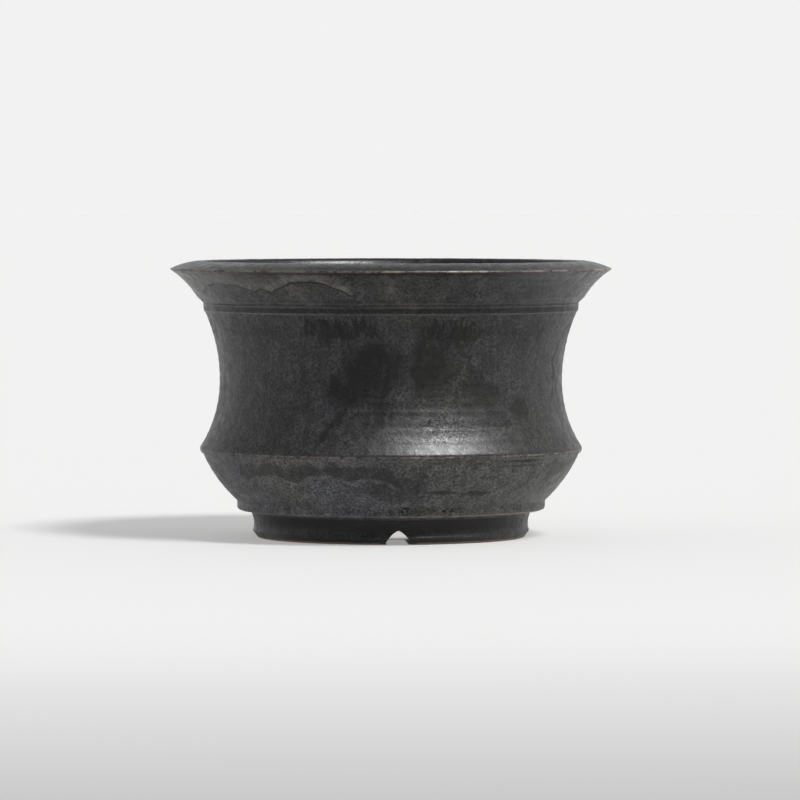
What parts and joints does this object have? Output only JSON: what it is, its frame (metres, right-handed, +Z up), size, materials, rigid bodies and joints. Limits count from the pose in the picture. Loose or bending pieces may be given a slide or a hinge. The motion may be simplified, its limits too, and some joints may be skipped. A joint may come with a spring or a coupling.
{
  "type": "bonsai pot",
  "caption": "Round waisted stoneware bonsai pot with a flared rim, a raised ridge, a notched foot ring and a screened drain hole under dark glaze.",
  "frame": {"origin": "centre of the foot's resting plane, on the pot's axis", "axes": "+Z up along the pot's axis, towards the mouth; -Y through the middle of the notch in the foot that the picture shows"},
  "size_m": [0.2206, 0.2206, 0.1379],
  "materials": {
    "stoneware": "matte",
    "glaze": "satin",
    "screen_plastic": "matte",
    "clip_wire": "satin"
  },
  "bodies": {
    "root": {"rim_collar": "stoneware", "waist_wall": "stoneware", "lower_bowl": "stoneware", "floor_slab": "stoneware", "foot_ring": "stoneware", "glaze_coat": "glaze", "drain_screen": "screen_plastic", "screen_clip_front": "clip_wire", "screen_clip_back": "clip_wire"}
  },
  "joints": []
}
